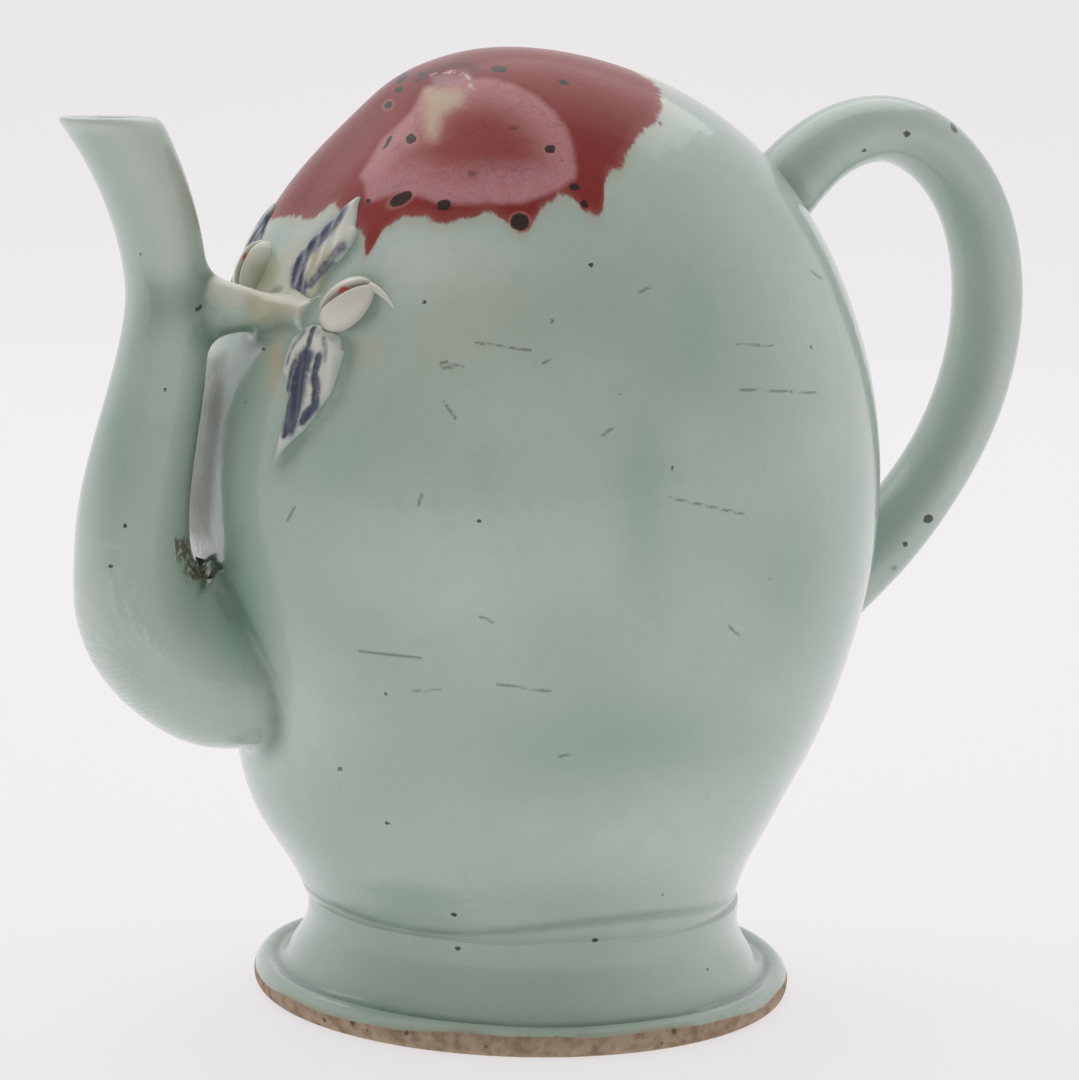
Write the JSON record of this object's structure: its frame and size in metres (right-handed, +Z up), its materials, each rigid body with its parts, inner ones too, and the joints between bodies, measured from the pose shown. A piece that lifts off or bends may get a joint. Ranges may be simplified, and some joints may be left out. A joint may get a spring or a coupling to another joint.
{
  "type": "cadogan teapot",
  "caption": "Closed peach-shaped pot on a flared foot, with an S-shaped spout, a looped handle and leaf relief; it has no lid and is filled through a hole in its base.",
  "frame": {"origin": "centre of the resting plane under the foot ring", "axes": "+Z up, the spout points to -X, the handle is at +X, the picture sees the -Y half"},
  "size_m": [0.1742, 0.1076, 0.1566],
  "materials": {
    "celadon_glaze": "glossy pale green glaze with a copper-red splash over the top",
    "blue_leaf_glaze": "glossy glaze over cobalt blue strokes on white slip",
    "cream_bud_glaze": "glossy glaze over white slip, touched with brown and red",
    "bare_porcelain": "unglazed, fired to a warm buff"
  },
  "bodies": {
    "root": {"body_front_half": "celadon_glaze", "body_back_half": "celadon_glaze", "spout_front_half": "celadon_glaze", "spout_back_half": "celadon_glaze", "handle_front_half": "celadon_glaze", "handle_back_half": "celadon_glaze", "foot_ring": "celadon_glaze", "branch": "celadon_glaze", "upper_leaf_front": "blue_leaf_glaze", "lower_leaf_front": "blue_leaf_glaze", "upper_leaf_back": "blue_leaf_glaze", "lower_leaf_back": "blue_leaf_glaze", "bud_front": "cream_bud_glaze", "bud_back": "cream_bud_glaze", "tendril_front": "cream_bud_glaze", "tendril_back": "cream_bud_glaze", "base_plate": "bare_porcelain", "filler_tube": "bare_porcelain"}
  },
  "joints": []
}
